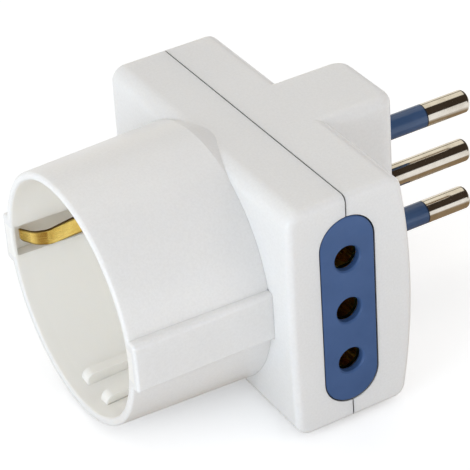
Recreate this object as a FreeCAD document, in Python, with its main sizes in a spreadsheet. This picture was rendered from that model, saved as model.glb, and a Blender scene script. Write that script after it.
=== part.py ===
"""Three-way mains adapter: a round recessed earth-clip socket in front, a three-hole socket
on each end and a three-pin plug at the back, in a white two-shell housing.

Frame: +Y points out of the plug along the earth pin, +Z up, +X towards the right-hand socket.
The origin is on the earth pin's axis, in the plug's flat face. All sizes are millimetres.
"""
import FreeCAD, Part
import os
from types import SimpleNamespace

import Sketcher
from FreeCAD import Placement, Rotation, Vector

DRIVING = {
    # Housing slab: the two shells meet in the seam plane, between the socket faces.
    "half_length": 27.7,
    "front_depth": 10.1,
    "front_bulge": 0.3,
    "front_round": 2.6,
    "rear_depth": 9.8,
    "rear_bulge": 1.9,
    "rear_round": 2.4,
    "end_round": 1.1,
    "wall": 2.0,
    "seam_gap": 0.25,
    "lip_height": 1.5,
    "lip_thickness": 0.9,
    "slip": 0.1,
    # Cup of the front socket: a straight mouth, then a slight draft down to the floor.
    "cup_reach": 34.3,
    "cup_bore": 19.6,
    "cup_mouth": 2.6,
    "cup_step": 0.3,
    "cup_step_length": 7.5,
    "cup_wall": 1.4,
    "cup_draft": 0.7,
    "cup_ramp": 5.6,
    "cup_ramp_drop": 1.7,
    "cup_depth": 17.5,
    "cup_floor": 2.0,
    "rim_round": 0.5,
    "pad_rise": 0.8,
    "pad_wall": 1.1,
    "pad_half_width": 4.4,
    "pad_round": 0.8,
    "recess_back": 0.7,
    "recess_half_width": 2.75,
    "rib_near": 2.3,
    "rib_width": 2.1,
    "rib_height": 2.0,
    "rib_setback": 2.8,
    "rib_nose": 1.4,
    "front_pin_radius": 2.4,
    "front_hole_ease": 0.25,
    # Plug block at the back.
    "plug_reach": 22.6,
    "plug_half_width": 7.9,
    "plug_wall": 2.5,
    "plug_corner": 3.0,
    "plug_edge": 1.7,
    # Pins.
    "pin_pitch": 9.5,
    "pin_radius": 2.0,
    "pin_length": 18.5,
    "pin_tip_round": 0.7,
    "root_step": 0.2,
    "neck_step": 0.6,
    "shank_rim": 0.4,
    "sleeve_length": 10.0,
    "collar_rim": 0.9,
    "collar_thickness": 1.3,
    "rivet_step": 0.8,
    "rivet_lip": 1.1,
    "rivet_rise": 0.6,
    "snug": 0.02,
    # End sockets.
    "insert_half_width": 4.8,
    "insert_end": 7.5,
    "insert_margin": 3.7,
    "insert_gap": 0.18,
    "insert_face": 1.2,
    "insert_wall": 0.9,
    "flange_margin": 1.0,
    "flange_thickness": 1.5,
    "insert_round": 0.3,
    "side_hole_ease": 0.2,
    "hole_chamfer": 0.25,
    # Conductors.
    "bus_front": 4.6,
    "bus_thickness": 0.8,
    "bus_half_width": 2.5,
    "bus_end_gap": 7.2,
    "side_contact_gap": 0.6,
    "side_contact_length": 13.4,
    "contact_ease": 0.05,
    "contact_wall": 0.55,
    "contact_slit": 0.8,
    "foot_length": 2.75,
    "foot_half_width": 1.0,
    "front_contact_gap": 0.4,
    "front_contact_length": 10.5,
    "tail_half_width": 1.8,
    "tail_foot": 3.0,
    "strap_rear": 4.0,
    "strap_thickness": 0.5,
    "strap_half_width": 1.6,
    "strap_base_half_width": 2.5,
    "strap_base_setback": 2.2,
    "leg_gap": 0.6,
    "leg_room": 0.5,
    "clip_apex_inset": 2.3,
    "clip_curl_inset": 1.3,
    "clip_tip_gap": 0.05,
    "clip_tip_setback": 2.1,
    "clip_tip_run": 1.5,
    "clip_curl_run": 2.1,
    "clip_taper_run": 4.6,
    "clip_tip_half_width": 1.1,
    "clip_tip_round": 0.3,
    "clip_bend": 2.5,
    "spacer_wall": 1.0,
    # Housing screws.
    "screw_inset": 7.7,
    "screw_rise": 6.0,
    "screw_radius": 1.25,
    "screw_end_gap": 2.1,
    "screw_seat": 6.5,
    "head_radius": 2.1,
    "head_height": 1.6,
    "head_clearance": 0.2,
    "driver_slot": 0.7,
    "driver_depth": 0.9,
    "boss_radius": 2.5,
    "seat_radius": 3.1,
    "boss_meeting": 0.5,
}


class Size:
    """A length kept with the sheet formula that gives it, so that arithmetic builds both."""

    def __init__(self, value, formula):
        self.value = value
        self.formula = formula

    @staticmethod
    def of(thing):
        return thing if isinstance(thing, Size) else Size(float(thing), repr(float(thing)))

    def joined(self, other, sign, value):
        return Size(value, f"({self.formula} {sign} {other.formula})")

    def __add__(self, other):
        other = Size.of(other)
        return self.joined(other, "+", self.value + other.value)

    def __sub__(self, other):
        other = Size.of(other)
        return self.joined(other, "-", self.value - other.value)

    def __mul__(self, other):
        other = Size.of(other)
        return self.joined(other, "*", self.value * other.value)

    def __truediv__(self, other):
        other = Size.of(other)
        return self.joined(other, "/", self.value / other.value)

    def __radd__(self, other):
        return Size.of(other) + self

    def __rsub__(self, other):
        return Size.of(other) - self

    def __rmul__(self, other):
        return Size.of(other) * self

    def __neg__(self):
        return Size(-self.value, f"(0 - {self.formula})")


def fill_sheet(doc):
    """Write the driving dimensions into the sheet and hand them back as Size values."""
    sheet = doc.addObject("Spreadsheet::Sheet", "sizes")
    for row, (name, value) in enumerate(DRIVING.items(), 1):
        sheet.set(f"A{row}", name)
        sheet.set(f"B{row}", str(value))
        sheet.setAlias(f"B{row}", name)
    doc.recompute()
    return SimpleNamespace(**{name: Size(float(sheet.get(name)), f"sizes.{name}") for name in DRIVING})


doc = FreeCAD.newDocument("adapter")
s = fill_sheet(doc)

# FAR takes a cut right through the adapter, and OVERLAP is how far cuts and joined blocks
# reach past the face they meet. CLOSE is the tolerance for finding an edge by its place.
FAR = 60.0
OVERLAP = 1.0
CLOSE = 0.01
EXACT = 1e-6
ALONG = {
    "x": Rotation(Vector(0, 1, 0), 90),
    "y": Rotation(Vector(1, 0, 0), -90),
    "z": Rotation(),
}
TURNED = Rotation(Vector(0, 0, 1), 180)


# Places shared by several pieces, from the seam plane along Y or out from the middle.
half_gap = s.seam_gap / 2
insert_half_length = s.pin_pitch + s.insert_end
half_height = insert_half_length + s.insert_margin
cup_floor_front = s.cup_depth - s.cup_reach
cup_floor_back = cup_floor_front + s.cup_floor
cup_mouth_radius = s.cup_bore + s.cup_wall
cup_root_radius = cup_mouth_radius + s.cup_draft
cup_deep_bore = s.cup_bore - s.cup_step
pad_reach = cup_root_radius + s.pad_rise
recess_outer = pad_reach - s.pad_wall
leg_outer = s.cup_bore - s.leg_gap
leg_inner = leg_outer - s.strap_thickness
strap_front = s.strap_rear + s.strap_thickness
bus_rear = s.bus_front + s.bus_thickness
plug_inner = s.plug_reach - s.plug_wall
lip_margin = s.wall - s.lip_thickness

# Radii that follow the pins. Each step is wide enough to tell a pin's bare wall from the rest.
root_radius = s.pin_radius - s.root_step
neck_radius = s.pin_radius - s.neck_step
shank_radius = s.pin_radius + s.shank_rim
collar_radius = s.pin_radius + s.collar_rim
rivet_radius = s.pin_radius - s.rivet_step
rivet_hole = rivet_radius + s.snug
side_hole = s.pin_radius + s.side_hole_ease
side_contact_bore = s.pin_radius + s.contact_ease
front_hole = s.front_pin_radius + s.front_hole_ease
front_contact_bore = s.front_pin_radius + s.contact_ease
spacer_radius = rivet_radius + s.spacer_wall


def bind(item, name, size):
    """Tie one property of an object to a formula of the sheet."""
    item.setExpression(name, Size.of(size).formula)


def place(item, x=0, y=0, z=0, turn=None):
    """Put an object at x, y, z, turned if asked, with each coordinate tied to the sheet."""
    item.Placement = Placement(Vector(), turn or Rotation())
    for axis, size in zip("xyz", (x, y, z)):
        bind(item, f"Placement.Base.{axis}", size)
    return item


def box(name, x, y, z):
    """A block between the pairs of limits x, y and z."""
    item = doc.addObject("Part::Box", name)
    for side, (low, high) in zip(("Length", "Width", "Height"), (x, y, z)):
        bind(item, side, high - Size.of(low))
    return place(item, x[0], y[0], z[0])


def rod(name, radius, axis, span, x=0, y=0, z=0):
    """A round bar along one axis between the limits in span, centred by the other places."""
    item = doc.addObject("Part::Cylinder", name)
    bind(item, "Radius", radius)
    bind(item, "Height", span[1] - Size.of(span[0]))
    spot = {"x": x, "y": y, "z": z, axis: span[0]}
    return place(item, spot["x"], spot["y"], spot["z"], ALONG[axis])


def taper(name, radii, axis, span, z=0):
    """A cone along one axis whose radius runs between two radii over the limits in span."""
    item = doc.addObject("Part::Cone", name)
    bind(item, "Radius1", radii[0])
    bind(item, "Radius2", radii[1])
    bind(item, "Height", span[1] - Size.of(span[0]))
    spot = {"x": 0, "y": 0, "z": z, axis: span[0]}
    return place(item, spot["x"], spot["y"], spot["z"], ALONG[axis])


def join(name, items):
    """One solid from several."""
    item = doc.addObject("Part::MultiFuse", name)
    item.Shapes = items
    item.Refine = True
    return item


def carve(name, base, tools):
    """The base with every tool taken away."""
    item = doc.addObject("Part::Cut", name)
    item.Base = base
    item.Tool = tools[0] if len(tools) == 1 else join(f"{name}_tools", tools)
    item.Refine = True
    return item


def runs_along(edge, axis):
    """Whether an edge is straight and parallel to an axis."""
    if edge.Curve.TypeId != "Part::GeomLine":
        return False
    return abs(abs(getattr(edge.Curve.Direction, axis)) - 1) < EXACT


def edges_of(item, test, axis=None):
    """Numbers of the edges whose ends both pass the test, along one axis if one is named."""
    doc.recompute()
    found = []
    for number, edge in enumerate(item.Shape.Edges, 1):
        ends = [vertex.Point for vertex in edge.Vertexes]
        if ends and all(test(end) for end in ends) and (not axis or runs_along(edge, axis)):
            found.append(number)
    return found


def near(value, size):
    """Whether a coordinate lies on a size."""
    return abs(value - Size.of(size).value) < CLOSE


def rounded(name, base, test, radius, axis=None):
    """A plain solid with the chosen edges rounded."""
    item = doc.addObject("Part::Fillet", name)
    item.Base = base
    reach = radius.value
    item.Edges = [(number, reach, reach) for number in edges_of(base, test, axis)]
    return item


def plane(body, role):
    """One of a body's own origin planes or axes."""
    return next(part for part in body.Origin.OriginFeatures if part.Role == role)


def new_body(name):
    return doc.addObject("PartDesign::Body", name)


def new_sketch(body, name, role, rise=0):
    """A sketch on one of the body's origin planes, lifted along the plane's normal."""
    sketch = body.newObject("Sketcher::SketchObject", name)
    sketch.AttachmentSupport = [(plane(body, role), "")]
    sketch.MapMode = "FlatFace"
    bind(sketch, "AttachmentOffset.Base.z", rise)
    return sketch


def held(sketch, kind, *where, size):
    """Add a constraint whose value follows the sheet."""
    number = sketch.addConstraint(Sketcher.Constraint(kind, *where, Size.of(size).value))
    bind(sketch, f"Constraints[{number}]", size)


def add_loop(sketch, corners, arcs=None):
    """A closed outline through the corners. arcs maps an edge's number to how far it bulges
    to its right-hand side, with the arc passing through the middle of the bulge."""
    arcs = arcs or {}
    first = sketch.GeometryCount
    count = len(corners)
    spots = [Vector(Size.of(x).value, Size.of(y).value, 0) for x, y in corners]
    for number, start in enumerate(spots):
        end = spots[(number + 1) % count]
        if number in arcs:
            run = end - start
            aside = Vector(run.y, -run.x, 0).normalize() * arcs[number].value
            sketch.addGeometry(Part.Arc(start, (start + end) / 2 + aside, end), False)
        else:
            sketch.addGeometry(Part.LineSegment(start, end), False)
    for number in range(count):
        sketch.addConstraint(Sketcher.Constraint(
            "Coincident", first + number, 2 - turned_over(sketch, first + number, spots[number]),
            first + (number + 1) % count,
            1 + turned_over(sketch, first + (number + 1) % count, spots[(number + 1) % count])))
    for number, (x, y) in enumerate(corners):
        start = 1 + turned_over(sketch, first + number, spots[number])
        held(sketch, "DistanceX", -1, 1, first + number, start, size=x)
        held(sketch, "DistanceY", -1, 1, first + number, start, size=y)
    for number, bulge in arcs.items():
        (xa, ya), (xb, yb) = corners[number], corners[(number + 1) % count]
        half_chord = (Size.of(yb) - ya) / 2 if near(Size.of(xa).value, xb) else (Size.of(xb) - xa) / 2
        radius = (half_chord * half_chord + bulge * bulge) / (2 * bulge)
        held(sketch, "Radius", first + number, size=radius)


def turned_over(sketch, number, start):
    """1 if an edge's stored first point isn't where its loop enters it, as on some arcs."""
    edge = sketch.Geometry[number]
    return 0 if edge.StartPoint.distanceToPoint(start) < EXACT else 1


def add_circle(sketch, radius, x=0, y=0):
    """A circle whose radius and centre follow the sheet."""
    centre = Vector(Size.of(x).value, Size.of(y).value, 0)
    number = sketch.addGeometry(Part.Circle(centre, Vector(0, 0, 1), Size.of(radius).value), False)
    held(sketch, "Radius", number, size=radius)
    held(sketch, "DistanceX", -1, 1, number, 3, size=x)
    held(sketch, "DistanceY", -1, 1, number, 3, size=y)


def pad(body, sketch, length, both_ways=False, backwards=False):
    feature = body.newObject("PartDesign::Pad", f"{sketch.Name}_pad")
    feature.Profile = sketch
    bind(feature, "Length", length)
    feature.Midplane = both_ways
    feature.Reversed = backwards
    return feature


def pocket(body, sketch, length, both_ways=False, backwards=False):
    feature = body.newObject("PartDesign::Pocket", f"{sketch.Name}_pocket")
    feature.Profile = sketch
    bind(feature, "Length", length)
    feature.Midplane = both_ways
    feature.Reversed = backwards
    return feature


def revolve(body, sketch):
    """Turn a half outline about the sketch's own upright axis."""
    feature = body.newObject("PartDesign::Revolution", f"{sketch.Name}_turned")
    feature.Profile = sketch
    feature.ReferenceAxis = (sketch, ["V_Axis"])
    feature.Angle = 360
    return feature


def soften(body, feature, numbers, name, radius):
    """Round a body's edges by their numbers."""
    fillet = body.newObject("PartDesign::Fillet", name)
    fillet.Base = (feature, [f"Edge{number}" for number in numbers])
    bind(fillet, "Radius", radius)
    return fillet


def slab_half(name, side, depth, bulge, inset, open_end):
    """Half of the slab on one side of the seam: a profile with a bowed outer face, as long as
    the housing. side is -1 for the front and 1 for the back. inset shrinks it evenly."""
    body = new_body(name)
    profile = new_sketch(body, f"{name}_profile", "YZ_Plane")
    height = half_height - inset
    face = side * (depth - inset)
    seam = side * Size.of(open_end)
    low = -side * height
    high = side * height
    add_loop(profile, [(seam, low), (face, low), (face, high), (seam, high)], {1: bulge})
    return body, pad(body, profile, 2 * (s.half_length - inset), both_ways=True)


def rounded_slab(name, side, depth, bulge, long_round):
    """The outer form of a shell: long outer edges rounded, then the edges of each end."""
    body, solid = slab_half(name, side, depth, bulge, 0, half_gap)
    outer = lambda p: near(p.y, side * depth)
    soft = soften(body, solid, edges_of(solid, outer, "x"), f"{name}_long_round", long_round)
    at_end = lambda p: near(abs(p.x), s.half_length)
    at_seam = lambda p: at_end(p) and near(p.y, side * half_gap)
    numbers = set(edges_of(soft, at_end)) - set(edges_of(soft, at_seam))
    soften(body, soft, sorted(numbers), f"{name}_end_round", s.end_round)
    return body


def obround(name, half_width, half_length, x):
    """A bar along X with the outline of a socket insert: a block with a round top and bottom."""
    straight = half_length - half_width
    return join(name, [
        box(f"{name}_middle", x, (-half_width, half_width), (-straight, straight)),
        rod(f"{name}_top", half_width, "x", x, z=straight),
        rod(f"{name}_bottom", half_width, "x", x, z=-straight)])


def insert_openings(name):
    """What the two socket inserts take out of the end walls, with the gap round them."""
    half_width = s.insert_half_width + s.insert_gap
    half_length = insert_half_length + s.insert_gap
    inner = s.half_length - s.wall - OVERLAP
    outer = s.half_length + OVERLAP
    return [obround(f"{name}_right_opening", half_width, half_length, (inner, outer)),
            obround(f"{name}_left_opening", half_width, half_length, (-outer, -inner))]


def screw_spots():
    """The two screws stand on a diagonal, clear of the conductors."""
    across = s.half_length - s.screw_inset
    up = s.pin_pitch + s.screw_rise
    return {"upper": (across, up), "lower": (-across, -up)}


def in_order(first, second):
    """Two limits, the lower one first."""
    return (first, second) if first.value < second.value else (second, first)


def make_front_shell():
    """Front moulding: half slab, socket cup with its floor, clip pads, guide ribs, bosses."""
    slab = rounded_slab("front_slab", -1, s.front_depth, s.front_bulge, s.front_round)
    cup = taper("cup_outside", (cup_mouth_radius, cup_root_radius), "y", (-s.cup_reach, -s.front_depth))
    ramp = taper("cup_ramp_cone", (cup_root_radius, cup_root_radius - s.cup_ramp_drop), "y",
                 (-s.front_depth, s.cup_ramp - s.front_depth))
    pads = box("clip_pads", (-pad_reach, pad_reach), (-s.cup_reach, -s.front_depth + OVERLAP),
               (-s.pad_half_width, s.pad_half_width))
    soft_pads = rounded("soft_pads", pads, lambda p: True, s.pad_round, "y")
    outside = join("front_outside", [slab, cup, ramp, soft_pads])
    at_mouth = lambda p: near(p.y, -s.cup_reach)
    outside = rounded("front_rim", outside, at_mouth, s.rim_round)

    mouth_end = s.cup_mouth - s.cup_reach
    step_end = mouth_end + s.cup_step_length
    bore = join("cup_hollow", [
        rod("cup_hollow_mouth", s.cup_bore, "y", (-s.cup_reach - OVERLAP, mouth_end)),
        taper("cup_hollow_step", (s.cup_bore, cup_deep_bore), "y", (mouth_end, step_end)),
        rod("cup_hollow_deep", cup_deep_bore, "y", (step_end, cup_floor_front))])
    hollowed = carve("front_bored", outside, [bore])
    on_bore = lambda p: near(p.y, -s.cup_reach) and near((p.x ** 2 + p.z ** 2) ** 0.5, s.cup_bore)
    hollowed = rounded("front_bore_rim", hollowed, on_bore, s.rim_round)
    back = rod("cup_back_hollow", cup_deep_bore, "y",
               (cup_floor_back, -s.front_depth + s.wall + OVERLAP))
    slab_hollow, _ = slab_half("front_slab_hollow", -1, s.front_depth, s.front_bulge, s.wall, -OVERLAP)
    rebate_x = s.half_length - lip_margin + s.slip
    rebate_z = half_height - lip_margin + s.slip
    rebate = box("lip_rebate", (-rebate_x, rebate_x), (-half_gap - s.lip_height, OVERLAP),
                 (-rebate_z, rebate_z))
    recesses = [
        box(f"clip_recess_{name}", span, (s.recess_back - s.cup_reach, cup_floor_back + OVERLAP),
            (-s.recess_half_width, s.recess_half_width))
        for name, span in (("right", (leg_inner - s.leg_room, recess_outer)),
                           ("left", (-recess_outer, s.leg_room - leg_inner)))]
    holes = [
        rod(f"floor_hole_{name}", front_hole, "y", (cup_floor_front - OVERLAP, cup_floor_back + OVERLAP),
            z=z)
        for name, z in (("line", s.pin_pitch), ("neutral", -s.pin_pitch))]
    hollow = carve("front_hollow", hollowed,
                   [back, slab_hollow, rebate] + recesses + holes + insert_openings("front"))

    inside = [hollow]
    rib_front = s.rib_setback - s.cup_reach
    rib_crest = s.cup_bore - s.rib_height
    for side, up in (("upper", 1), ("lower", -1)):
        for hand, across in (("right", 1), ("left", -1)):
            x = in_order(across * s.rib_near, across * (s.rib_near + s.rib_width))
            z = in_order(up * rib_crest, up * s.cup_bore)
            name = f"guide_rib_{side}_{hand}"
            rib = box(name, x, (rib_front, cup_floor_front + OVERLAP), z)
            at_nose = lambda p: near(p.y, rib_front) and near(abs(p.z), rib_crest)
            inside.append(rounded(f"{name}_soft", rib, at_nose, s.rib_nose, "x"))
    for name, (x, z) in screw_spots().items():
        floor = -s.front_depth + s.wall / 2
        inside.append(rod(f"{name}_front_boss", s.boss_radius, "y", (floor, -s.boss_meeting), x=x, z=z))
    filled = join("front_filled", inside)
    pilots = [
        rod(f"{name}_pilot", s.screw_radius + s.snug, "y", (-s.front_depth + s.wall, OVERLAP), x=x, z=z)
        for name, (x, z) in screw_spots().items()]
    return place(carve("front_shell", filled, pilots), y=-s.plug_reach)


def make_rear_shell():
    """Back moulding: half slab with a bowed back, plug block, joint lip and screw seats."""
    slab = rounded_slab("rear_slab", 1, s.rear_depth, s.rear_bulge, s.rear_round)
    block = new_body("plug_block")
    plan = new_sketch(block, "plug_plan", "XY_Plane")
    root = s.rear_depth - s.wall
    half = s.plug_half_width
    add_loop(plan, [(-half, root), (half, root), (half, s.plug_reach), (-half, s.plug_reach)])
    solid = pad(block, plan, 2 * half_height, both_ways=True)
    at_face = lambda p: near(p.y, s.plug_reach)
    corners = soften(block, solid, edges_of(solid, at_face, "z"), "plug_corners", s.plug_corner)
    at_crown = lambda p: near(abs(p.z), half_height)
    at_root = lambda p: at_crown(p) and near(p.y, root)
    around = set(edges_of(corners, at_crown)) - set(edges_of(corners, at_root))
    level = [number for number in sorted(around) if not runs_along(corners.Shape.Edges[number - 1], "z")]
    soften(block, corners, level, "plug_edges", s.plug_edge)
    outside = join("rear_outside", [slab, block])

    slab_hollow, _ = slab_half("rear_slab_hollow", 1, s.rear_depth, s.rear_bulge, s.wall, -OVERLAP)
    inner = s.plug_half_width - s.wall
    inner_height = half_height - s.wall
    block_hollow = box("plug_hollow", (-inner, inner), (root - OVERLAP, plug_inner),
                       (-inner_height, inner_height))
    pin_holes = [
        rod(f"{name}_pin_hole", root_radius + s.snug, "y", (plug_inner - OVERLAP, s.plug_reach + OVERLAP),
            z=z)
        for name, z in (("line", s.pin_pitch), ("earth", 0), ("neutral", -s.pin_pitch))]
    hollow = carve("rear_hollow", outside, [slab_hollow, block_hollow] + pin_holes)

    lip_x = s.half_length - lip_margin
    lip_z = half_height - lip_margin
    free_x = s.half_length - s.wall
    free_z = half_height - s.wall
    lip_span = (-half_gap - s.lip_height, half_gap + OVERLAP)
    lip = carve("joint_lip", box("lip_outside", (-lip_x, lip_x), lip_span, (-lip_z, lip_z)),
                [box("lip_inside", (-free_x, free_x), (-FAR, FAR), (-free_z, free_z))])
    inside = [hollow, lip]
    cuts = insert_openings("rear")
    for name, (x, z) in screw_spots().items():
        back = s.rear_depth - s.wall / 2
        seat = s.screw_seat - OVERLAP
        inside.append(rod(f"{name}_rear_boss", s.boss_radius, "y", (-s.boss_meeting, back), x=x, z=z))
        inside.append(rod(f"{name}_seat_boss", s.seat_radius, "y", (seat, back), x=x, z=z))
        cuts.append(rod(f"{name}_shank_hole", s.screw_radius + s.slip, "y", (-FAR, FAR), x=x, z=z))
        cuts.append(rod(f"{name}_head_well", s.head_radius + s.head_clearance, "y", (s.screw_seat, FAR),
                        x=x, z=z))
    return place(carve("rear_shell", join("rear_filled", inside), cuts), y=-s.plug_reach)


def make_insert(name, side):
    """Blue socket face: an obround cap through the end wall, hollow behind its face, with a
    flange inside and three holes. Its own origin is in the middle of its face, +X outwards."""
    depth = s.wall + s.flange_thickness
    plate = obround(f"{name}_plate", s.insert_half_width, insert_half_length, (-depth, 0))
    outer = lambda p: near(p.x, 0)
    soft_plate = rounded(f"{name}_soft_plate", plate, outer, s.insert_round)
    flange = obround(f"{name}_flange", s.insert_half_width + s.flange_margin,
                     insert_half_length + s.flange_margin, (-depth, -s.wall))
    tools = [obround(f"{name}_hollow", s.insert_half_width - s.insert_wall,
                     insert_half_length - s.insert_wall, (-depth - OVERLAP, -s.insert_face))]
    for hole, z in (("line", s.pin_pitch), ("earth", 0), ("neutral", -s.pin_pitch)):
        tools.append(rod(f"{name}_{hole}_hole", side_hole, "x", (-s.insert_face - OVERLAP, OVERLAP), z=z))
        tools.append(taper(f"{name}_{hole}_mouth", (side_hole, side_hole + 2 * s.hole_chamfer), "x",
                           (-s.hole_chamfer, s.hole_chamfer), z))
    insert = carve(name, join(f"{name}_body", [soft_plate, flange]), tools)
    return place(insert, side * s.half_length, -s.plug_reach, 0, TURNED if side < 0 else None)


def make_pin(name, z, tail_end, sleeved):
    """A turned plug pin: round tip, collar behind the plug's wall, riveted tail. Its own
    origin is in the plug's face. tail_end is where the piece riveted to it ends, along Y."""
    body = new_body(name)
    outline = new_sketch(body, f"{name}_outline", "XY_Plane")
    seat = -s.plug_wall
    collar_front = seat - s.collar_thickness
    tail = tail_end - s.plug_reach
    head = rivet_radius + s.rivet_lip
    shoulder = bus_rear - s.plug_reach
    waist = neck_radius if sleeved else root_radius
    bare_from = s.sleeve_length if sleeved else Size.of(0)
    add_loop(outline, [
        (0, tail - s.rivet_rise), (head, tail - s.rivet_rise), (head, tail), (rivet_radius, tail),
        (rivet_radius, shoulder), (shank_radius, shoulder), (shank_radius, collar_front),
        (collar_radius, collar_front), (collar_radius, seat), (waist, seat), (waist, bare_from),
        (s.pin_radius, bare_from), (s.pin_radius, s.pin_length), (0, s.pin_length)])
    turned = revolve(body, outline)
    tip = lambda p: near(p.y, s.pin_length) and near(abs(p.x), s.pin_radius)
    soften(body, turned, edges_of(turned, tip), f"{name}_tip_round", s.pin_tip_round)
    return place(body, z=z)


def make_sleeve(name, z):
    """Blue insulating sleeve, flush with the bare end of its pin, from the collar outwards,
    with a thinner root where it passes through the plug's wall."""
    body = new_body(name)
    outline = new_sketch(body, f"{name}_outline", "XY_Plane")
    inner = neck_radius + s.snug
    add_loop(outline, [(inner, -s.plug_wall), (root_radius, -s.plug_wall), (root_radius, 0),
                       (s.pin_radius, 0), (s.pin_radius, s.sleeve_length), (inner, s.sleeve_length)])
    revolve(body, outline)
    return place(body, z=z)


def make_bus(name, z):
    """Flat brass strip that links the pin to both end sockets."""
    body = new_body(name)
    outline = new_sketch(body, f"{name}_outline", "XZ_Plane")
    across, up = s.half_length - s.bus_end_gap, s.bus_half_width
    add_loop(outline, [(-across, -up), (across, -up), (across, up), (-across, up)])
    add_circle(outline, rivet_hole)
    pad(body, outline, s.bus_thickness, backwards=True)
    return place(body, y=s.bus_front - s.plug_reach, z=z)


def make_side_contact(name, side, z):
    """Split spring tube for one side pin, with a foot that stands on the bus strip. Its own
    origin is on the tube's axis at its inner end, +X towards the socket's face."""
    middle = s.side_contact_length / 2
    body = join(f"{name}_blank", [
        rod(f"{name}_tube", side_contact_bore + s.contact_wall, "x", (0, s.side_contact_length)),
        box(f"{name}_foot", (middle - s.foot_length, middle), (side_contact_bore, s.bus_front),
            (-s.foot_half_width, s.foot_half_width))])
    slit = s.contact_slit / 2
    reach = (-OVERLAP, s.side_contact_length + OVERLAP)
    contact = carve(name, body, [
        rod(f"{name}_bore", side_contact_bore, "x", reach),
        box(f"{name}_slit", (middle, reach[1]), (-FAR, 0), (-slit, slit))])
    start = s.half_length - s.insert_face - s.side_contact_gap - s.side_contact_length
    turn = Rotation(Vector(0, 1, 0), 180) if side < 0 else None
    return place(contact, side * start, -s.plug_reach, z, turn)


def make_front_contact(name, z):
    """Split spring tube behind the cup's floor, with a tail and foot on the bus strip. Its
    own origin is on the tube's axis at its front end."""
    start = cup_floor_back + s.front_contact_gap
    end = s.bus_front - start
    middle = s.front_contact_length / 2
    tail_x = front_contact_bore
    tail_thick = s.contact_wall + s.snug
    wide = (-s.tail_half_width, s.tail_half_width)
    blank = join(f"{name}_blank", [
        rod(f"{name}_tube", front_contact_bore + s.contact_wall, "y", (0, s.front_contact_length)),
        box(f"{name}_tail", (tail_x, tail_x + tail_thick), (middle, end), wide),
        box(f"{name}_foot", (tail_x, tail_x + s.tail_foot), (end - tail_thick, end), wide)])
    slit = s.contact_slit / 2
    contact = carve(name, blank, [
        rod(f"{name}_bore", front_contact_bore, "y", (-OVERLAP, s.front_contact_length + OVERLAP)),
        box(f"{name}_slit", (-FAR, 0), (-OVERLAP, middle), (-slit, slit))])
    return place(contact, y=start - s.plug_reach, z=z)


def make_earth_strap():
    """Brass strap bent to a U: its base crosses behind the cup and its two legs come forward
    through the cup's floor. Each ends in a sprung earth clip that narrows to its curled tip."""
    body = new_body("earth_strap")
    side = new_sketch(body, "strap_side", "XY_Plane")
    thick = s.strap_thickness
    tip = recess_outer - s.clip_tip_gap
    curl = s.cup_bore - s.clip_curl_inset
    apex = s.cup_bore - s.clip_apex_inset
    tip_y = s.clip_tip_setback - s.cup_reach
    curl_y = tip_y + s.clip_tip_run
    apex_y = curl_y + s.clip_curl_run
    outer = [(leg_outer, -s.strap_rear), (leg_outer, cup_floor_front), (apex + thick, apex_y),
             (curl + thick, curl_y), (tip, tip_y)]
    inner = [(tip - thick, tip_y), (curl, curl_y), (apex, apex_y), (leg_inner, cup_floor_front),
             (leg_inner, -strap_front)]
    right = outer + inner
    left = [(-x, y) for x, y in reversed(right)]
    add_loop(side, right + left)
    strip = pad(body, side, 2 * s.strap_half_width, both_ways=True)
    at_bend = lambda p: any(near(p.y, bend) for bend in (curl_y, apex_y, cup_floor_front))
    soften(body, strip, edges_of(strip, at_bend, "z"), "strap_bends", s.clip_bend)

    taper_y = apex_y + s.clip_taper_run
    wide, narrow = s.strap_half_width, s.clip_tip_half_width
    trims = new_sketch(body, "strap_trims", "YZ_Plane")
    for side in (1, -1):
        add_loop(trims, [(taper_y, side * wide), (tip_y, side * narrow), (tip_y - OVERLAP, side * narrow),
                         (tip_y - OVERLAP, side * (wide + OVERLAP)), (taper_y, side * (wide + OVERLAP))])
    trimmed = pocket(body, trims, FAR, both_ways=True)
    at_tip = lambda p: near(p.y, tip_y) and near(abs(p.z), narrow)
    soften(body, trimmed, edges_of(trimmed, at_tip, "x"), "strap_tips", s.clip_tip_round)
    base = new_sketch(body, "strap_base", "XZ_Plane", s.strap_rear)
    across = leg_inner - s.strap_base_setback
    up = s.strap_base_half_width
    add_loop(base, [(-across, -up), (across, -up), (across, up), (-across, up)])
    pad(body, base, thick)
    hole = new_sketch(body, "strap_hole", "XZ_Plane")
    add_circle(hole, rivet_hole)
    pocket(body, hole, FAR, both_ways=True)
    return place(body, y=-s.plug_reach)


def make_earth_spacer():
    """Brass tube on the earth pin's tail that carries the strap off the earth bus."""
    body = new_body("earth_spacer")
    outline = new_sketch(body, "spacer_outline", "XZ_Plane")
    add_circle(outline, spacer_radius)
    add_circle(outline, rivet_hole)
    pad(body, outline, s.bus_front + s.strap_rear, backwards=True)
    return place(body, y=-s.strap_rear - s.plug_reach)


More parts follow.
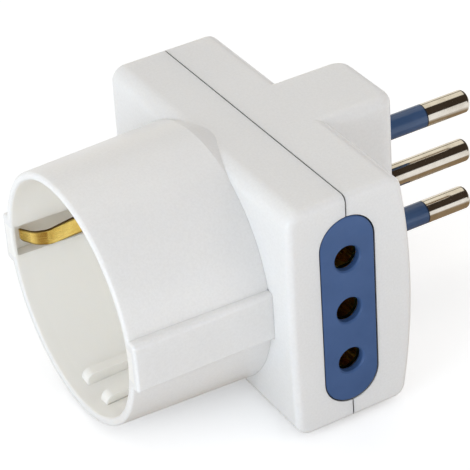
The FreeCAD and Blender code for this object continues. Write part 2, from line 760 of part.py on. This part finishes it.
def make_screw(name, x, z):
    """Thread-forming screw from the back, its head sunk in a well. Its own origin is under
    the head, on the axis."""
    body = new_body(name)
    outline = new_sketch(body, f"{name}_outline", "XY_Plane")
    point = s.screw_radius / 2
    end = s.wall + s.screw_end_gap - s.front_depth - s.screw_seat
    add_loop(outline, [(0, end), (point, end), (s.screw_radius, end + point), (s.screw_radius, 0),
                       (s.head_radius, 0), (s.head_radius, s.head_height), (0, s.head_height)])
    revolve(body, outline)
    slot_half = s.driver_slot / 2
    reach = s.head_radius - s.driver_slot
    for number, (half_x, half_z) in enumerate(((reach, slot_half), (slot_half, reach)), 1):
        cross = new_sketch(body, f"{name}_driver_{number}", "XZ_Plane", -s.head_height)
        add_loop(cross, [(-half_x, -half_z), (half_x, -half_z), (half_x, half_z), (-half_x, half_z)])
        pocket(body, cross, s.driver_depth, backwards=True)
    return place(body, x, s.screw_seat - s.plug_reach, z)


def make_all():
    """Every sub-part, in the order the adapter is put together."""
    rows = {"line": s.pin_pitch, "earth": Size.of(0), "neutral": -s.pin_pitch}
    made = [make_front_shell(), make_rear_shell()]
    for name, side in (("left", -1), ("right", 1)):
        made.append(make_insert(f"{name}_socket_insert", side))
    for name, z in rows.items():
        earth = name == "earth"
        tail_end = -strap_front if earth else s.bus_front
        made.append(make_pin(f"{name}_pin", z, tail_end, not earth))
        made.append(make_bus(f"{name}_bus", z))
        if not earth:
            made.append(make_sleeve(f"{name}_pin_sleeve", z))
            made.append(make_front_contact(f"front_{name}_contact", z))
        made.append(make_side_contact(f"left_{name}_contact", -1, z))
        made.append(make_side_contact(f"right_{name}_contact", 1, z))
    made.append(make_earth_spacer())
    made.append(make_earth_strap())
    for name, (x, z) in screw_spots().items():
        made.append(make_screw(f"{name}_screw", x, z))
    return made


def check(made):
    """Stop before writing if an object failed or a sub-part isn't one sound solid."""
    doc.recompute()
    for item in doc.Objects:
        if "Invalid" in item.State or "Error" in item.State:
            raise RuntimeError(f"{item.Name} failed: {item.State}")
    for item in made:
        shape = item.Shape
        if shape.isNull() or not shape.isValid() or len(shape.Solids) != 1:
            raise RuntimeError(f"{item.Name} is not one sound solid")


parts = make_all()
check(parts)
os.makedirs("parts", exist_ok=True)
for part in parts:
    part.Shape.exportStep(f"parts/{part.Label}.step")
    print(f"{part.Label:24s} {part.Shape.Volume:10.2f} mm3")
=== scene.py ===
"""The looks of the three-way mains adapter: finishes for its housing, sockets, pins and brass,
with the floor, light and camera of a plain studio view. Lengths are in metres."""
import math

import bpy
from mathutils import Matrix, Vector


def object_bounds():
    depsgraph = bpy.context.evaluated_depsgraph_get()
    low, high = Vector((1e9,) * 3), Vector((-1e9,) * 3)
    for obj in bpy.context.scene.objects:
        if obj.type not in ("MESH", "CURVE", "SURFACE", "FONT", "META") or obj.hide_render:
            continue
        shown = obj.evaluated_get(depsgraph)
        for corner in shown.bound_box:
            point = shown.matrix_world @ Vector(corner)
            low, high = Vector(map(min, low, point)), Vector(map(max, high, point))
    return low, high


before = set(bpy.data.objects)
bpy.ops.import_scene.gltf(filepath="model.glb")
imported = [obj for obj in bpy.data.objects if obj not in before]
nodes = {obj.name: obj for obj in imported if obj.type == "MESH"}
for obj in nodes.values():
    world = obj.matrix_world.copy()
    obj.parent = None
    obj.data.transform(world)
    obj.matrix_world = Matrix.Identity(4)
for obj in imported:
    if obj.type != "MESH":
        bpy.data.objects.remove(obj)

cad_low, cad_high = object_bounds()
MM = 0.001

# Front and rear shells: two satin white thermoplastic mouldings. The front one carries the
# socket cup, the rear one the plug block. They meet at the seam on a lip and are held by
# two screws from the back.
SHELL_WHITE = (0.855, 0.845, 0.831, 1.0)
SHELL_SHADE = (0.802, 0.790, 0.776, 1.0)
SHELL_SCUFF = (0.700, 0.680, 0.655, 1.0)
SHELL_ROUGHNESS = (0.28, 0.36)
SHELL_GRAIN_SCALE = 2600.0
SHELL_GRAIN_HEIGHT = 0.009 * MM
SHELL_CLOUD_SCALE = 40.0
SHELL_GLOW = 0.35
SHELL_GLOW_DEPTH = 2.2 * MM
SHELL_GLOW_COLOUR = (1.0, 0.92, 0.82)
PLASTIC_IOR = 1.5
MOTTLE_RANGE = (0.35, 0.65)
MOTTLE_SHARE = 0.6
CLOUD_SHARE = 0.4

# Painted warm bounce light: the cream that lightens the inside of the cup and its clip recesses.
CUP_BOUNCE_CREAM = (0.908, 0.886, 0.842, 1.0)
CUP_BORE = 19.64 * MM
CUP_FLOOR_Y = -39.3 * MM
RECESS_REACH = 21.45 * MM
RECESS_HALF = 2.80 * MM
EDGE_BLEND = 0.08 * MM

# Painted shade for narrow gaps and holes: the colour that an occlusion mask darkens them towards.
CREVICE_SHADE_DARK = (0.045, 0.040, 0.036, 1.0)
CREVICE_REACH = 0.45 * MM
CREVICE_RANGE = (0.55, 0.25)
CREVICE_RAYS = 8

GRAIN_FORM = (2.0, 0.6)
CLOUD_FORM = (3.0, 0.5)
CLOUD_RANGE = (0.35, 0.68)
GLOSS_FORM = (4.0, 0.55)
GLOSS_RANGE = (0.3, 0.7)
GLOSS_PER_CLOUD = 3.1

SCRATCH_SCALE = 260.0
SCRATCH_AMOUNT = 0.35
SCRATCH_TURN = (0.3, 0.5, 0.9)
SCRATCH_STRETCH = (1.0, 9.0, 1.6)
SCRATCH_FORM = (3.0, 0.7)
SCRATCH_RANGE = (0.66, 0.72)
HANDLED_SCALE = 90.0
HANDLED_FORM = (2.0, 0.55)
HANDLED_RANGE = (0.52, 0.66)


def set_inputs(tree, node, values):
    """Give a node's inputs, by name or number, plain values or links to other nodes' outputs."""
    for name, value in values.items():
        if isinstance(value, bpy.types.NodeSocket):
            tree.links.new(value, node.inputs[name])
        else:
            node.inputs[name].default_value = value


def add_node(tree, kind, values, **settings):
    """A node with its settings and the values of its inputs."""
    node = tree.nodes.new(kind)
    for name, setting in settings.items():
        setattr(node, name, setting)
    set_inputs(tree, node, values)
    return node


def add_math(tree, operation, first, second=0.0):
    """The result of a Math node."""
    return add_node(tree, "ShaderNodeMath", {0: first, 1: second}, operation=operation).outputs["Value"]


def add_noise(tree, place, scale, form):
    """Noise read at a place. The form is its detail and its roughness."""
    detail, roughness = form
    noise = add_node(tree, "ShaderNodeTexNoise",
                     {"Vector": place, "Scale": scale, "Detail": detail, "Roughness": roughness})
    return noise.outputs["Fac"]


def add_range(tree, value, low, high, to_low=0.0, to_high=1.0):
    """A value stretched from one range to another and clamped."""
    node = add_node(tree, "ShaderNodeMapRange", {"Value": value, "From Min": low, "From Max": high,
                                                 "To Min": to_low, "To Max": to_high})
    return node.outputs["Result"]


def mix_colours(tree, mask, first, second):
    """Two colours mixed by a mask; each is a plain value or an output."""
    node = add_node(tree, "ShaderNodeMix", {"Factor": mask}, data_type="RGBA")
    ends = [index for index, socket in enumerate(node.inputs) if socket.type == "RGBA"]
    set_inputs(tree, node, dict(zip(ends, (first, second))))
    return next(socket for socket in node.outputs if socket.type == "RGBA")


def split(tree, vector):
    """The X, Y and Z of a vector."""
    return add_node(tree, "ShaderNodeSeparateXYZ", {"Vector": vector}).outputs


def raise_surface(tree, height, distance):
    """The normal of a surface that a height raises by up to a distance."""
    bump = add_node(tree, "ShaderNodeBump", {"Height": height, "Distance": distance})
    return bump.outputs["Normal"]


def new_group(name, inputs, outputs):
    """An empty shader group: its tree, what it is given, and the node that its results go to."""
    tree = bpy.data.node_groups.new(name, "ShaderNodeTree")
    for socket, kind in inputs.items():
        tree.interface.new_socket(socket, in_out="INPUT", socket_type=kind)
    for socket in outputs:
        tree.interface.new_socket(socket, in_out="OUTPUT", socket_type="NodeSocketFloat")
    return tree, tree.nodes.new("NodeGroupInput").outputs, tree.nodes.new("NodeGroupOutput")


def build_moulding_group():
    """Moulded plastic: a fine spark-eroded grain, slow flow clouds and a patchy gloss."""
    tree, given, end = new_group(
        "moulded_skin",
        {"Place": "NodeSocketVector", "Grain Scale": "NodeSocketFloat",
         "Cloud Scale": "NodeSocketFloat"},
        ["Grain", "Clouds", "Gloss"])
    grain = add_noise(tree, given["Place"], given["Grain Scale"], GRAIN_FORM)
    clouds = add_noise(tree, given["Place"], given["Cloud Scale"], CLOUD_FORM)
    gloss_scale = add_math(tree, "MULTIPLY", given["Cloud Scale"], GLOSS_PER_CLOUD)
    gloss = add_noise(tree, given["Place"], gloss_scale, GLOSS_FORM)
    set_inputs(tree, end, {"Grain": grain, "Clouds": add_range(tree, clouds, *CLOUD_RANGE),
                           "Gloss": add_range(tree, gloss, *GLOSS_RANGE)})
    return tree


def build_scuff_group():
    """Handling marks: short hairline scratches that show only in patches."""
    tree, given, end = new_group(
        "handling_marks",
        {"Place": "NodeSocketVector", "Scratch Scale": "NodeSocketFloat", "Amount": "NodeSocketFloat"},
        ["Marks"])
    stretched = add_node(tree, "ShaderNodeMapping", {"Vector": given["Place"], "Rotation": SCRATCH_TURN,
                                                     "Scale": SCRATCH_STRETCH}).outputs["Vector"]
    lines = add_noise(tree, stretched, given["Scratch Scale"], SCRATCH_FORM)
    handled = add_noise(tree, given["Place"], HANDLED_SCALE, HANDLED_FORM)
    marks = add_math(tree, "MULTIPLY", add_range(tree, lines, *SCRATCH_RANGE),
                     add_range(tree, handled, *HANDLED_RANGE))
    set_inputs(tree, end, {"Marks": add_math(tree, "MULTIPLY", marks, given["Amount"])})
    return tree


moulding_group = build_moulding_group()
scuff_group = build_scuff_group()


def new_finish(name):
    """A material with its Principled shader and a place on the piece to read textures at."""
    material = bpy.data.materials.new(name)
    material.use_nodes = True
    tree = material.node_tree
    place = tree.nodes.new("ShaderNodeTexCoord").outputs["Object"]
    return material, tree, tree.nodes["Principled BSDF"], place


def moulded_skin(tree, place, grain_scale, cloud_scale):
    """The grain, clouds and gloss of a moulded plastic, at its own scales."""
    values = {"Place": place, "Grain Scale": grain_scale, "Cloud Scale": cloud_scale}
    return add_node(tree, "ShaderNodeGroup", values, node_tree=moulding_group).outputs


def paint_crevice_shade(tree, colour, reach):
    """Painted shade: little light reaches the bottom of a narrow gap or hole, so the colour is darkened
    there.
    """
    open_sky = add_node(tree, "ShaderNodeAmbientOcclusion", {"Distance": reach}, samples=CREVICE_RAYS)
    mask = add_range(tree, open_sky.outputs["AO"], *CREVICE_RANGE)
    return mix_colours(tree, mask, colour, CREVICE_SHADE_DARK)


def below(tree, value, limit):
    """One where a value is under a limit, with a short soft edge."""
    return add_range(tree, value, limit + EDGE_BLEND, limit)


def inside_cup(tree, place):
    """One in the socket cup and its two clip recesses, where the plastic gets a painted warm bounce
    light.
    """
    parts = split(tree, place)
    across = add_math(tree, "ABSOLUTE", parts["X"])
    upright = add_math(tree, "ABSOLUTE", parts["Z"])
    squares = add_math(tree, "ADD", add_math(tree, "POWER", across, 2.0),
                       add_math(tree, "POWER", upright, 2.0))
    bore = below(tree, add_math(tree, "SQRT", squares), CUP_BORE)
    recess = add_math(tree, "MULTIPLY", below(tree, across, RECESS_REACH),
                      below(tree, upright, RECESS_HALF))
    either = add_math(tree, "MAXIMUM", bore, recess)
    return add_math(tree, "MULTIPLY", either, below(tree, parts["Y"], CUP_FLOOR_Y))


def shell_finish():
    """Satin white plastic with a fine mottle and slow clouds, a painted warm bounce light in the cup,
    and light scratches. It lets a little light in under its surface."""
    material, tree, shader, place = new_finish("white_shell_plastic")
    skin = moulded_skin(tree, place, SHELL_GRAIN_SCALE, SHELL_CLOUD_SCALE)
    marks = add_node(tree, "ShaderNodeGroup",
                     {"Place": place, "Scratch Scale": SCRATCH_SCALE, "Amount": SCRATCH_AMOUNT},
                     node_tree=scuff_group).outputs["Marks"]
    mottle = add_math(tree, "MULTIPLY", add_range(tree, skin["Grain"], *MOTTLE_RANGE), MOTTLE_SHARE)
    clouds = add_math(tree, "MULTIPLY", skin["Clouds"], CLOUD_SHARE)
    body = mix_colours(tree, add_math(tree, "ADD", mottle, clouds), SHELL_WHITE, SHELL_SHADE)
    # Painted warm bounce light: the cup's inside and its recesses are lightened towards cream.
    bounce_warmed = mix_colours(tree, inside_cup(tree, place), body, CUP_BOUNCE_CREAM)
    worn = mix_colours(tree, marks, bounce_warmed, SHELL_SCUFF)
    set_inputs(tree, shader, {
        # Painted shade darkens the colour in narrow gaps, such as the seam and the outlines of the
        # inserts.
        "Base Color": paint_crevice_shade(tree, worn, CREVICE_REACH),
        "Roughness": add_range(tree, skin["Gloss"], 0.0, 1.0, *SHELL_ROUGHNESS),
        "Normal": raise_surface(tree, skin["Grain"], SHELL_GRAIN_HEIGHT),
        "IOR": PLASTIC_IOR,
        "Subsurface Weight": SHELL_GLOW,
        "Subsurface Radius": SHELL_GLOW_COLOUR,
        "Subsurface Scale": SHELL_GLOW_DEPTH})
    return material


def dress(names, material):
    """Give CAD pieces their finish."""
    for name in names:
        piece = nodes[name]
        piece.data.materials.clear()
        piece.data.materials.append(material)


dress(["front_shell", "rear_shell"], shell_finish())

# Socket inserts: slate-blue thermoplastic plates, snapped in behind the end walls of both
# shells before they close. Each has the three holes of a side socket.
INSERT_BLUE = (0.038, 0.094, 0.240, 1.0)
INSERT_PALE = (0.048, 0.110, 0.272, 1.0)
INSERT_ROUGHNESS = (0.40, 0.56)
INSERT_GRAIN_SCALE = 3600.0
BLUE_CLOUD_SCALE = 140.0
BLUE_GRAIN_HEIGHT = 0.012 * MM
HOLE_REACH = 1.1 * MM


def blue_finish(name, deep, pale, roughness, grain_scale):
    """Slate-blue plastic with small clouds of two close blues, and painted shade darkening its holes.
    """
    material, tree, shader, place = new_finish(name)
    skin = moulded_skin(tree, place, grain_scale, BLUE_CLOUD_SCALE)
    body = mix_colours(tree, skin["Clouds"], deep, pale)
    set_inputs(tree, shader, {
        # Painted shade darkens the colour inside the holes.
        "Base Color": paint_crevice_shade(tree, body, HOLE_REACH),
        "Roughness": add_range(tree, skin["Gloss"], 0.0, 1.0, *roughness),
        "Normal": raise_surface(tree, skin["Grain"], BLUE_GRAIN_HEIGHT),
        "IOR": PLASTIC_IOR})
    return material


insert_blue = blue_finish("blue_insert_plastic", INSERT_BLUE, INSERT_PALE, INSERT_ROUGHNESS,
                          INSERT_GRAIN_SCALE)
dress(["left_socket_insert", "right_socket_insert"], insert_blue)

# Bus strips, contact tubes, spacer and earth strap: bright rolled brass, cut and bent from
# sheet. They are riveted or welded together and show in the holes and at the earth clips.
BRASS = (0.950, 0.710, 0.210, 1.0)
BRASS_WORN = (0.800, 0.540, 0.130, 1.0)
BRASS_ROUGHNESS = (0.16, 0.30)
BRASS_LINES = (0.15, 0.15, 3.0)
BRASS_RIDGE = 0.004 * MM

LINE_SCALE = 900.0
LINE_FORM = (2.0, 0.6)
LINE_RANGE = (0.3, 0.7)
STAIN_SCALE = 320.0
STAIN_FORM = (4.0, 0.6)
STAIN_RANGE = (0.42, 0.7)

EDGE_BROWN = (0.130, 0.075, 0.022, 1.0)
EDGE_ROUGHER = 0.3
EDGE_RANGE = (0.55, 0.80)
CLIP_TIP_Y = -54.8 * MM
CLIP_TAPER = 4.6 * MM
CLIP_TIP_HALF = 1.1 * MM
CLIP_HALF = 1.6 * MM
CLIP_ROLLED = 0.36 * MM
ROLLED_SHARE = 0.75


def build_drawn_group():
    """Drawn or turned metal: fine parallel lines, with a slow stain over them."""
    tree, given, end = new_group(
        "drawn_metal",
        {"Place": "NodeSocketVector", "Line Stretch": "NodeSocketVector",
         "Line Scale": "NodeSocketFloat"},
        ["Lines", "Stain"])
    squeezed = add_node(tree, "ShaderNodeVectorMath", {0: given["Place"], 1: given["Line Stretch"]},
                        operation="MULTIPLY").outputs["Vector"]
    lines = add_noise(tree, squeezed, given["Line Scale"], LINE_FORM)
    stain = add_noise(tree, given["Place"], STAIN_SCALE, STAIN_FORM)
    set_inputs(tree, end, {"Lines": lines, "Stain": add_range(tree, stain, *STAIN_RANGE)})
    return tree


drawn_group = build_drawn_group()


def metal_finish(name, bright, worn, lines, roughness, ridge):
    """Bare or plated metal with a dull stain and fine lines. The noise is squeezed along the
    three axes by the shares in lines, and a small share draws it out into long lines."""
    material, tree, shader, place = new_finish(name)
    drawn = add_node(tree, "ShaderNodeGroup",
                     {"Place": place, "Line Stretch": lines, "Line Scale": LINE_SCALE},
                     node_tree=drawn_group).outputs
    set_inputs(tree, shader, {
        "Base Color": mix_colours(tree, drawn["Stain"], bright, worn),
        "Roughness": add_range(tree, drawn["Lines"], *LINE_RANGE, *roughness),
        "Normal": raise_surface(tree, drawn["Lines"], ridge),
        "Metallic": 1.0})
    return material


def brass_finish(name):
    """Bright rolled brass."""
    return metal_finish(name, BRASS, BRASS_WORN, BRASS_LINES, BRASS_ROUGHNESS, BRASS_RIDGE)


def look_up(material):
    """A finished material's tree, its shader and the place that its textures are read at."""
    tree = material.node_tree
    return tree, tree.nodes["Principled BSDF"], tree.nodes["Texture Coordinate"].outputs["Object"]


def fed_by(shader, name):
    """The output that one of the shader's inputs is linked to."""
    return shader.inputs[name].links[0].from_socket


def darken_edges(material):
    """The blanked edges of the strap face up and down: they are dark and rough, and so is the
    narrow rolled line beside them, on a strip that tapers towards the tip of the clip."""
    tree, shader, place = look_up(material)
    facing = split(tree, tree.nodes.new("ShaderNodeNewGeometry").outputs["True Normal"])
    edge = add_range(tree, add_math(tree, "ABSOLUTE", facing["Z"]), *EDGE_RANGE)
    parts = split(tree, place)
    half = add_range(tree, parts["Y"], CLIP_TIP_Y, CLIP_TIP_Y + CLIP_TAPER, CLIP_TIP_HALF, CLIP_HALF)
    inset = add_math(tree, "SUBTRACT", half, add_math(tree, "ABSOLUTE", parts["Z"]))
    rolled = add_range(tree, inset, CLIP_ROLLED, CLIP_ROLLED / 2, 0.0, ROLLED_SHARE)
    dark = add_math(tree, "MAXIMUM", edge, rolled)
    rougher = add_math(tree, "MULTIPLY", dark, EDGE_ROUGHER)
    set_inputs(tree, shader, {
        "Base Color": mix_colours(tree, dark, fed_by(shader, "Base Color"), EDGE_BROWN),
        "Roughness": add_math(tree, "ADD", fed_by(shader, "Roughness"), rougher)})


brass_pieces = [name for name in nodes if name.endswith(("_bus", "_contact"))]
dress(brass_pieces + ["earth_spacer"], brass_finish("rolled_brass"))
strap_brass = brass_finish("strap_brass")
darken_edges(strap_brass)
dress(["earth_strap"], strap_brass)

# Plug pins: turned brass with a bright nickel plate, round at the tip. Each is riveted to
# its bus strip and held by a collar behind the plug's wall.
NICKEL = (0.780, 0.735, 0.660, 1.0)
NICKEL_DULL = (0.640, 0.590, 0.510, 1.0)
PIN_ROUGHNESS = (0.07, 0.16)
PIN_LINES = (0.05, 6.0, 0.05)
PIN_RIDGE = 0.002 * MM
dress(["line_pin", "earth_pin", "neutral_pin"],
      metal_finish("nickel_plate", NICKEL, NICKEL_DULL, PIN_LINES, PIN_ROUGHNESS, PIN_RIDGE))

# Pin sleeves: glossy slate-blue plastic, moulded round the necks of the live pins. Painted
# shade darkens the fine joints at both of their ends.
SLEEVE_BLUE = (0.040, 0.082, 0.180, 1.0)
SLEEVE_PALE = (0.052, 0.100, 0.210, 1.0)
SLEEVE_ROUGHNESS = (0.14, 0.24)
SLEEVE_GRAIN_SCALE = 5000.0
SLEEVE_END = 10.0 * MM
ROOT_JOINT = (0.30 * MM, 0.10 * MM)
END_JOINT = (SLEEVE_END - 0.32 * MM, SLEEVE_END - 0.12 * MM)
# Painted shade for the joint lines at the sleeve's ends.
JOINT_SHADE_DARK = (0.010, 0.016, 0.030, 1.0)


def paint_joint_shade(material):
    """Painted shade in the fine lines where the sleeve meets the plug's face and the bare metal."""
    tree, shader, place = look_up(material)
    along = split(tree, place)["Y"]
    joint = add_math(tree, "MAXIMUM", add_range(tree, along, *ROOT_JOINT),
                     add_range(tree, along, *END_JOINT))
    # Painted shade: the colour is darkened in the joint lines.
    joint_shaded = mix_colours(tree, joint, fed_by(shader, "Base Color"), JOINT_SHADE_DARK)
    set_inputs(tree, shader, {"Base Color": joint_shaded})


sleeve_blue = blue_finish("blue_sleeve_plastic", SLEEVE_BLUE, SLEEVE_PALE, SLEEVE_ROUGHNESS,
                          SLEEVE_GRAIN_SCALE)
# Painted shade in the sleeve's end joints.
paint_joint_shade(sleeve_blue)
dress(["line_pin_sleeve", "neutral_pin_sleeve"], sleeve_blue)

# Housing screws: zinc-plated steel, sunk in wells in the rear shell. They run forward and
# pull the two shells together.
ZINC = (0.610, 0.620, 0.640, 1.0)
ZINC_DULL = (0.450, 0.455, 0.465, 1.0)
SCREW_ROUGHNESS = (0.25, 0.42)
SCREW_LINES = (2.0, 2.0, 2.0)
SCREW_RIDGE = 0.003 * MM
dress(["upper_screw", "lower_screw"],
      metal_finish("zinc_plate", ZINC, ZINC_DULL, SCREW_LINES, SCREW_ROUGHNESS, SCREW_RIDGE))

# Floor: a wide white sheet at the height of the adapter's lowest point. It keeps the soft
# shadow and is white to the camera. In the metal it shows a painted shade and reflection of
# the adapter: beige close by, white further off.
FLOOR_HALF = 6.0
FLOOR_WHITE = (0.90, 0.90, 0.90, 1.0)
FLOOR_SPECK = (0.885, 0.885, 0.885, 1.0)
FLOOR_ROUGHNESS = 0.9
FLOOR_SPECULAR = 0.1
FLOOR_LIFT = 0.34
PAPER_SCALE = 30.0
PAPER_FORM = (3.0, 0.55)
PAPER_RANGE = (0.3, 0.7)
# Painted shade and reflection of the adapter on the sheet, as the metal sees it close by.
NEAR_SHADE_BEIGE = (0.30, 0.22, 0.135, 1.0)
PURE_WHITE = (1.0, 1.0, 1.0, 1.0)
BEIGE_RANGE = (0.055, 0.075)


def mix_shaders(tree, mask, first, second):
    """The first shader where the mask is nought, and the second where it is one."""
    return add_node(tree, "ShaderNodeMixShader", {0: mask, 1: first, 2: second}).outputs["Shader"]


def add_floor(height, under):
    """The sheet, with the adapter standing over the point under."""
    corners = [(-FLOOR_HALF, -FLOOR_HALF, height), (FLOOR_HALF, -FLOOR_HALF, height),
               (FLOOR_HALF, FLOOR_HALF, height), (-FLOOR_HALF, FLOOR_HALF, height)]
    mesh = bpy.data.meshes.new("floor")
    mesh.from_pydata(corners, [], [(0, 1, 2, 3)])
    floor = bpy.data.objects.new("floor", mesh)
    bpy.context.collection.objects.link(floor)
    material, tree, shader, place = new_finish("floor_sheet")
    paper = add_range(tree, add_noise(tree, place, PAPER_SCALE, PAPER_FORM), *PAPER_RANGE)
    set_inputs(tree, shader, {
        "Base Color": mix_colours(tree, paper, FLOOR_WHITE, FLOOR_SPECK),
        "Roughness": FLOOR_ROUGHNESS,
        "Specular IOR Level": FLOOR_SPECULAR})
    ray = tree.nodes.new("ShaderNodeLightPath").outputs
    strength = add_math(tree, "MULTIPLY", ray["Is Camera Ray"], FLOOR_LIFT)
    lift = add_node(tree, "ShaderNodeEmission", {"Color": PURE_WHITE, "Strength": strength})
    lifted = add_node(tree, "ShaderNodeAddShader",
                      {0: shader.outputs["BSDF"], 1: lift.outputs["Emission"]})
    # Painted shade and reflection: reflections see the sheet beige close to the adapter and white
    # further off.
    away = add_node(tree, "ShaderNodeVectorMath", {0: place, 1: (under.x, under.y, height)},
                    operation="DISTANCE").outputs["Value"]
    reflected_shade = mix_colours(tree, add_range(tree, away, *BEIGE_RANGE), NEAR_SHADE_BEIGE, PURE_WHITE)
    mirrored = add_node(tree, "ShaderNodeEmission", {"Color": reflected_shade, "Strength": 1.0})
    surface = mix_shaders(tree, ray["Is Glossy Ray"], lifted.outputs["Shader"],
                          mirrored.outputs["Emission"])
    set_inputs(tree, tree.nodes["Material Output"], {"Surface": surface})
    mesh.materials.append(material)


middle = (cad_low + cad_high) / 2
add_floor(cad_low.z, middle)

# Light: a pale surround, white to the camera, and three soft windows: a cool one in front,
# a small warm one before the cup, and a weak one from the right and behind. Reflections see
# white on the right, a dark band overhead, cream on the left, and dark behind.
SURROUND = 0.91
SURROUND_COLOUR = (0.965, 0.975, 1.0, 1.0)
SURROUND_SHADE = 0.36
MIRROR_CREAM = (0.95, 0.90, 0.78, 1.0)
MIRROR_DARK = (0.045, 0.032, 0.022, 1.0)
MIRROR_BEHIND = (0.50, 0.60)
MIRROR_TURNS = [(-60.0, PURE_WHITE), (17.0, PURE_WHITE), (21.0, MIRROR_DARK),
                (90.0, MIRROR_DARK), (94.0, MIRROR_CREAM), (144.0, MIRROR_CREAM),
                (147.0, MIRROR_DARK), (153.0, MIRROR_DARK), (156.0, MIRROR_CREAM)]
HALF_TURN = 180.0


def add_bands(tree, parts):
    """The surround's colours by the angle round the adapter, from the right over the top."""
    turn = add_math(tree, "ARCTAN2", parts["Z"], parts["X"])
    around = add_node(tree, "ShaderNodeValToRGB", {"Fac": add_range(tree, turn, -math.pi, math.pi)})
    ramp = around.color_ramp
    while len(ramp.elements) > 1:
        ramp.elements.remove(ramp.elements[-1])
    ramp.elements[0].position = 0.0
    ramp.elements[0].color = MIRROR_CREAM
    for angle, colour in MIRROR_TURNS:
        ramp.elements.new((angle + HALF_TURN) / (2 * HALF_TURN)).color = colour
    return around.outputs["Color"]


def add_sky(tree, colour, strength):
    """A background of a colour at a strength, for one kind of ray."""
    sky = add_node(tree, "ShaderNodeBackground", {"Color": colour, "Strength": strength})
    return sky.outputs["Background"]


def add_surround():
    """The world: what lights the adapter, what its reflections see and what the camera sees."""
    world = bpy.data.worlds.new("surround")
    world.use_nodes = True
    bpy.context.scene.world = world
    tree = world.node_tree
    parts = split(tree, tree.nodes.new("ShaderNodeTexCoord").outputs["Generated"])
    bands = add_bands(tree, parts)
    behind = add_range(tree, parts["Y"], *MIRROR_BEHIND)
    lighting = add_sky(tree, mix_colours(tree, SURROUND_SHADE, SURROUND_COLOUR, bands), SURROUND)
    mirrored = add_sky(tree, mix_colours(tree, behind, bands, MIRROR_DARK), 1.0)
    seen = add_sky(tree, PURE_WHITE, 1.0)
    ray = tree.nodes.new("ShaderNodeLightPath").outputs
    unseen = mix_shaders(tree, ray["Is Glossy Ray"], lighting, mirrored)
    surface = mix_shaders(tree, ray["Is Camera Ray"], unseen, seen)
    set_inputs(tree, tree.nodes["World Output"], {"Surface": surface})


def add_window(name, offset, size, power, colour, in_mirrors):
    """A square area lamp turned towards the adapter's middle."""
    lamp = bpy.data.lights.new(name, "AREA")
    lamp.size = size
    lamp.energy = power
    lamp.color = colour
    window = bpy.data.objects.new(name, lamp)
    bpy.context.collection.objects.link(window)
    window.location = middle + Vector(offset)
    window.rotation_euler = (-Vector(offset)).to_track_quat("-Z", "Y").to_euler()
    window.visible_glossy = in_mirrors


add_surround()
add_window("front_window", offset=(0.16, -0.56, 0.11), size=0.30, power=1.32,
           colour=(0.74, 0.87, 1.0), in_mirrors=True)
add_window("cup_window", offset=(0.035, -0.150, 0.030), size=0.13, power=0.017,
           colour=(1.0, 0.93, 0.84), in_mirrors=True)
add_window("side_window", offset=(0.38, 0.28, 0.32), size=0.30, power=0.42,
           colour=(1.0, 0.97, 0.94), in_mirrors=False)

# Camera: the photograph's own viewpoint, to the right of the front and above, with its
# slight tilt. Its place is measured from the middle of the slab, in the seam plane.
SEAM_Y = -22.6 * MM
VIEW_AZIMUTH = math.radians(61.051)
VIEW_ELEVATION = math.radians(33.678)
VIEW_ROLL = math.radians(-3.826)
VIEW_DISTANCE = 360.75 * MM
VIEW_LENS = 171.25
AIM_RIGHT = -3.389 * MM
AIM_UP = -1.092 * MM
SENSOR_WIDTH = 36.0
CLIP_START = 10 * MM


def add_camera():
    """A long lens that looks at the aim point, rolled by the photograph's tilt."""
    back = Vector((math.sin(VIEW_AZIMUTH) * math.cos(VIEW_ELEVATION),
                   -math.cos(VIEW_AZIMUTH) * math.cos(VIEW_ELEVATION), math.sin(VIEW_ELEVATION)))
    level = Vector((math.cos(VIEW_AZIMUTH), math.sin(VIEW_AZIMUTH), 0.0))
    upright = back.cross(level)
    right = math.cos(VIEW_ROLL) * level + math.sin(VIEW_ROLL) * upright
    up = -math.sin(VIEW_ROLL) * level + math.cos(VIEW_ROLL) * upright
    seam_middle = Vector((0.0, SEAM_Y, 0.0))
    spot = seam_middle + VIEW_DISTANCE * back
    aim = seam_middle + AIM_RIGHT * right + AIM_UP * up
    away = (spot - aim).normalized()
    across = up.cross(away).normalized()
    turn = Matrix((across, away.cross(across), away)).transposed()
    lens = bpy.data.cameras.new("camera")
    lens.lens = VIEW_LENS
    lens.sensor_width = SENSOR_WIDTH
    lens.clip_start = CLIP_START
    camera = bpy.data.objects.new("camera", lens)
    bpy.context.collection.objects.link(camera)
    camera.matrix_world = Matrix.Translation(spot) @ turn.to_4x4()
    bpy.context.scene.camera = camera


add_camera()
bpy.context.scene.view_settings.view_transform = "Standard"
